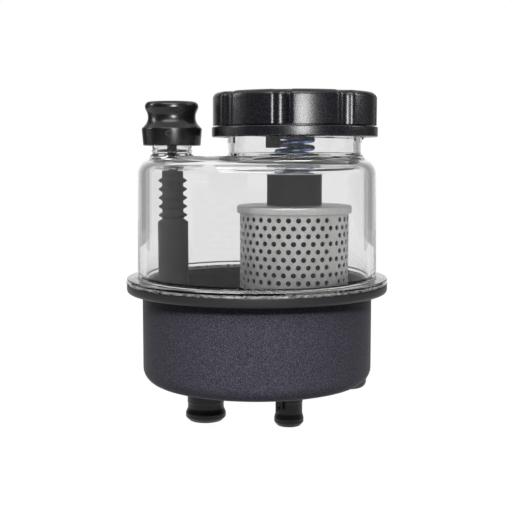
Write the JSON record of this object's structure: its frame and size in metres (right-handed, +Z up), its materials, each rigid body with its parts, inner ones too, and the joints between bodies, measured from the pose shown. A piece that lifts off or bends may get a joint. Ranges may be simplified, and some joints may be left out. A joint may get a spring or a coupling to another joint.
{
  "type": "hydraulic oil reservoir",
  "caption": "Hydraulic oil reservoir with a dark bowl, clear cover, screw cap, spring-held return filter and dipstick.",
  "frame": {"origin": "on the bowl's axis, at the underside of its flange, where a ring bracket carries it", "axes": "+Z up through the filler cap, +X from the dipstick towards the filler cap, -Y towards the viewer"},
  "size_m": [0.16, 0.16, 0.2059],
  "materials": {
    "bowl_plastic": "spark grained",
    "inner_plastic": "as moulded",
    "clear_plastic": "clear, polished",
    "cap_plastic": "fine grain, satin",
    "gauge_plastic": "gloss",
    "filter_steel": "zinc plated sheet",
    "spring_steel": "blue zinc plated",
    "filter_paper": "pleated, oil soaked",
    "seal_rubber": "matt"
  },
  "bodies": {
    "housing": {"bowl": "bowl_plastic", "baffle_plate": "inner_plastic", "return_pipe": "inner_plastic", "pipe_seal": "seal_rubber", "clear_cover": "clear_plastic", "filter_spring": "spring_steel", "spring_plate": "filter_steel", "spring_post": "inner_plastic", "filter_top_cap": "filter_steel", "filter_screen": "filter_steel", "filter_pleats": "filter_paper", "filter_core": "filter_steel", "filter_bottom_cap": "filter_steel", "filter_grommet": "seal_rubber"},
    "spring_carriage": {"spring_retainer": "inner_plastic"},
    "cap": {"filler_cap": "cap_plastic", "cap_gasket": "seal_rubber", "retainer_clip": "spring_steel"},
    "dipstick": {"dipstick_cap": "gauge_plastic", "dipstick_seal": "seal_rubber", "gauge_stem": "inner_plastic"}
  },
  "joints": [
    {"name": "cap_rise", "type": "slide", "parent": "housing", "child": "spring_carriage", "axis": [0, 0, 1], "range_m": [0, 0.00875], "deforming": ["filter_spring"]},
    {"name": "cap_turn", "type": "hinge", "parent": "spring_carriage", "child": "cap", "pos_m": [0.023, 0, 0.1175], "axis": [0, 0, 1], "range_deg": [0, 630]},
    {"name": "dipstick_pull", "type": "slide", "parent": "housing", "child": "dipstick", "axis": [0, 0, 1], "range_m": [0, 0.1]}
  ],
  "couplings": [
    {"joint": "cap_rise", "follows": "cap_turn", "m_per_rad": 0.00079577}
  ]
}
